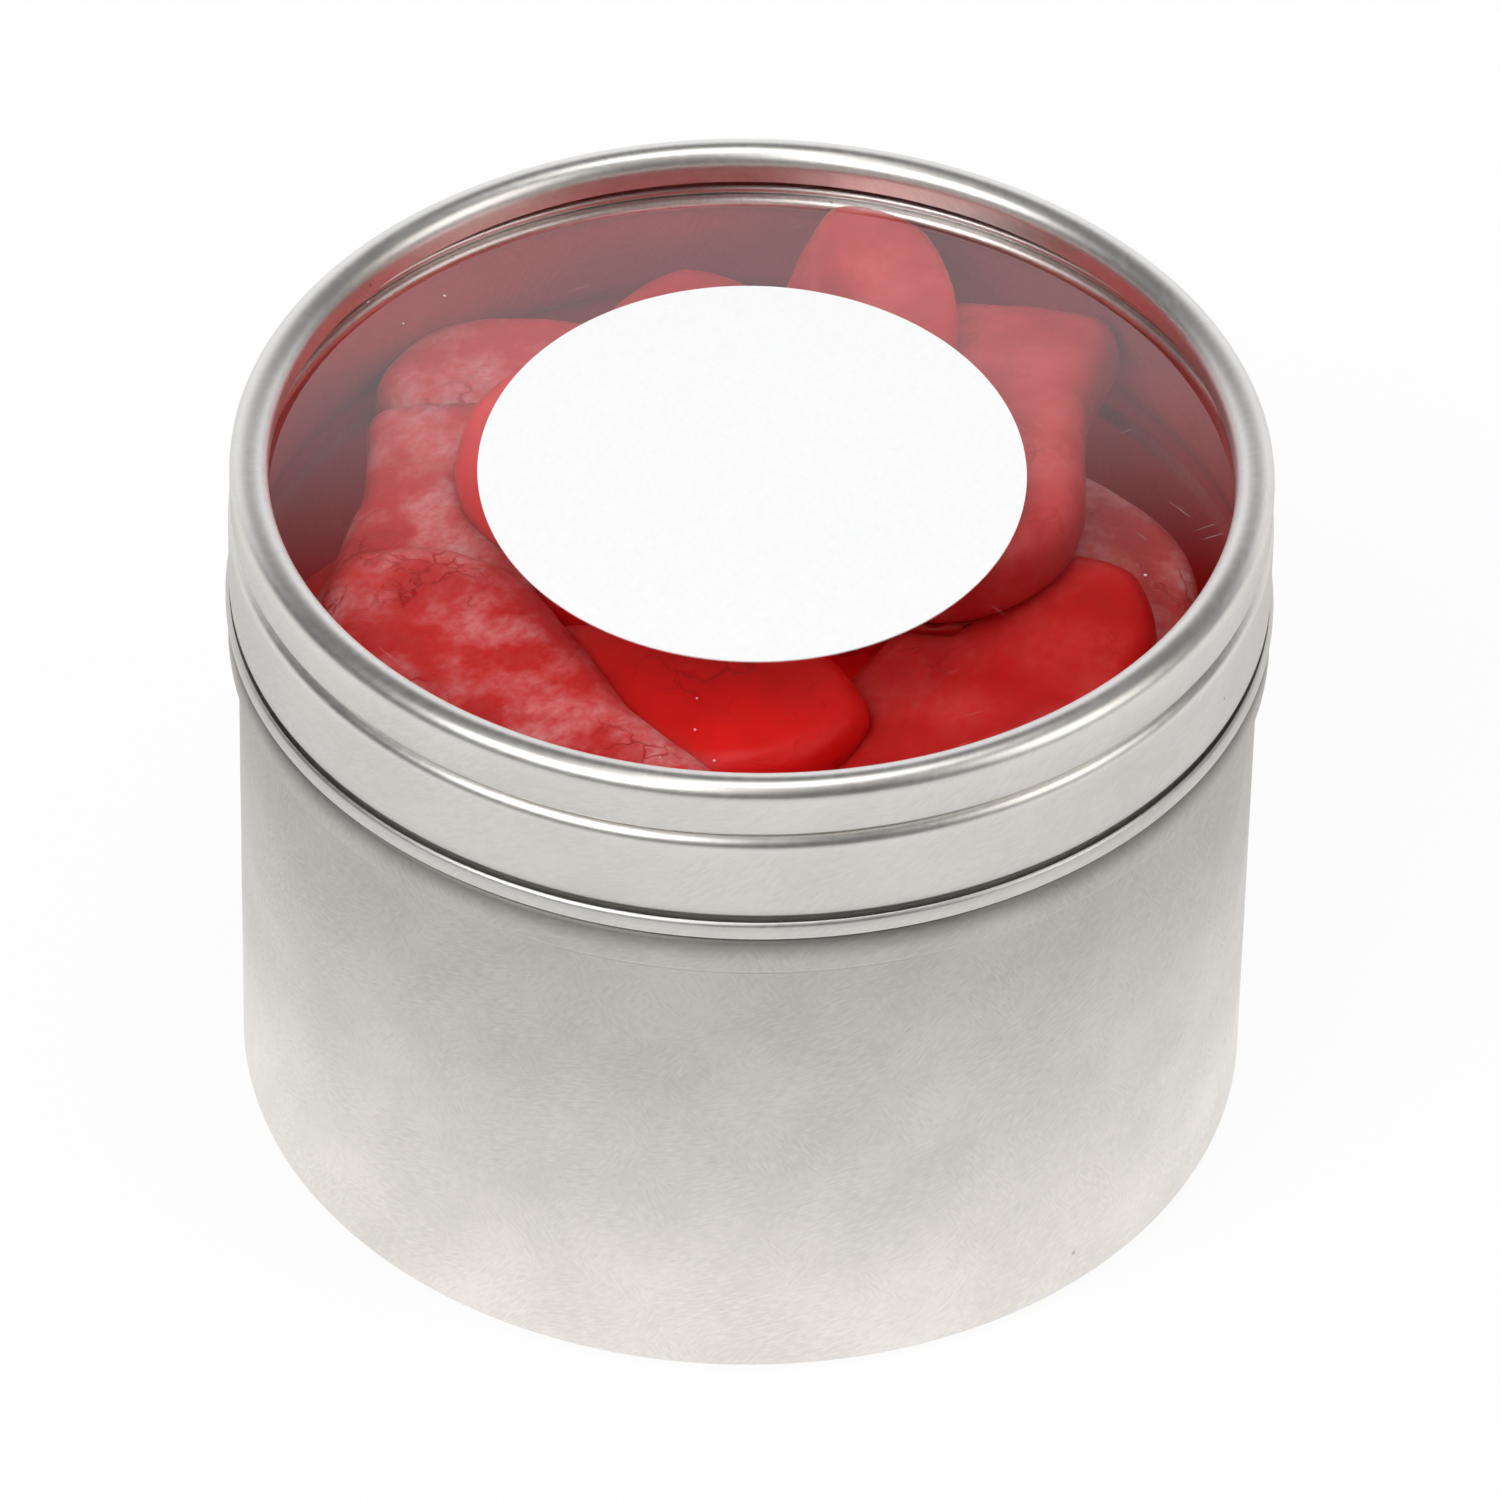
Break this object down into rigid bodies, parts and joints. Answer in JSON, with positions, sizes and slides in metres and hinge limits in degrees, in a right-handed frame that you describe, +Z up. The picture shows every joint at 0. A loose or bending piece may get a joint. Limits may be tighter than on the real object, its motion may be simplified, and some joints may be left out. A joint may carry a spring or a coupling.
{
  "type": "window lid tin",
  "caption": "Round tinplate tin with a slip-on lid, clear lid window with a blank oval label, and red fish-shaped gummy sweets inside.",
  "frame": {"origin": "centre of the base's standing ring, on the surface that the tin stands on", "axes": "+Z up along the tin's axis, towards the lid; +Y away from the viewer's side; +X to the viewer's right"},
  "size_m": [0.082, 0.082, 0.0603],
  "materials": {
    "tinplate": "satin, fine random brushing with light scratches",
    "clear_plastic": "clear, glossy, light scratches",
    "label_stock": "plain white, matte",
    "gummy": "translucent red gel, soft sheen"
  },
  "bodies": {
    "tin": {"sweet_back_left": "gummy", "sweet_back_middle": "gummy", "sweet_back_nose": "gummy", "sweet_centre": "gummy", "sweet_centre_right": "gummy", "sweet_front_left": "gummy", "sweet_front_middle": "gummy", "sweet_front_right": "gummy", "sweet_layer_1_1": "gummy", "sweet_layer_1_2": "gummy", "sweet_layer_1_3": "gummy", "sweet_layer_1_4": "gummy", "sweet_layer_2_1": "gummy", "sweet_layer_2_2": "gummy", "sweet_layer_2_3": "gummy", "sweet_layer_2_4": "gummy", "sweet_layer_3_1": "gummy", "sweet_layer_3_2": "gummy", "sweet_layer_3_3": "gummy", "sweet_layer_3_4": "gummy", "sweet_layer_4_1": "gummy", "sweet_layer_4_2": "gummy", "sweet_layer_4_3": "gummy", "sweet_layer_4_4": "gummy", "sweet_layer_5_1": "gummy", "sweet_layer_5_2": "gummy", "sweet_layer_5_3": "gummy", "sweet_layer_5_4": "gummy", "sweet_left": "gummy", "sweet_left_low": "gummy", "sweet_right_low": "gummy", "sweet_right_top": "gummy", "tin_body": "tinplate"},
    "lid": {"lid_shell": "tinplate", "lid_window": "clear_plastic", "window_label": "label_stock"}
  },
  "joints": [
    {"name": "lid_lift", "type": "slide", "parent": "tin", "child": "lid", "axis": [0, 0, 1], "range_m": [0, 0.06]}
  ]
}
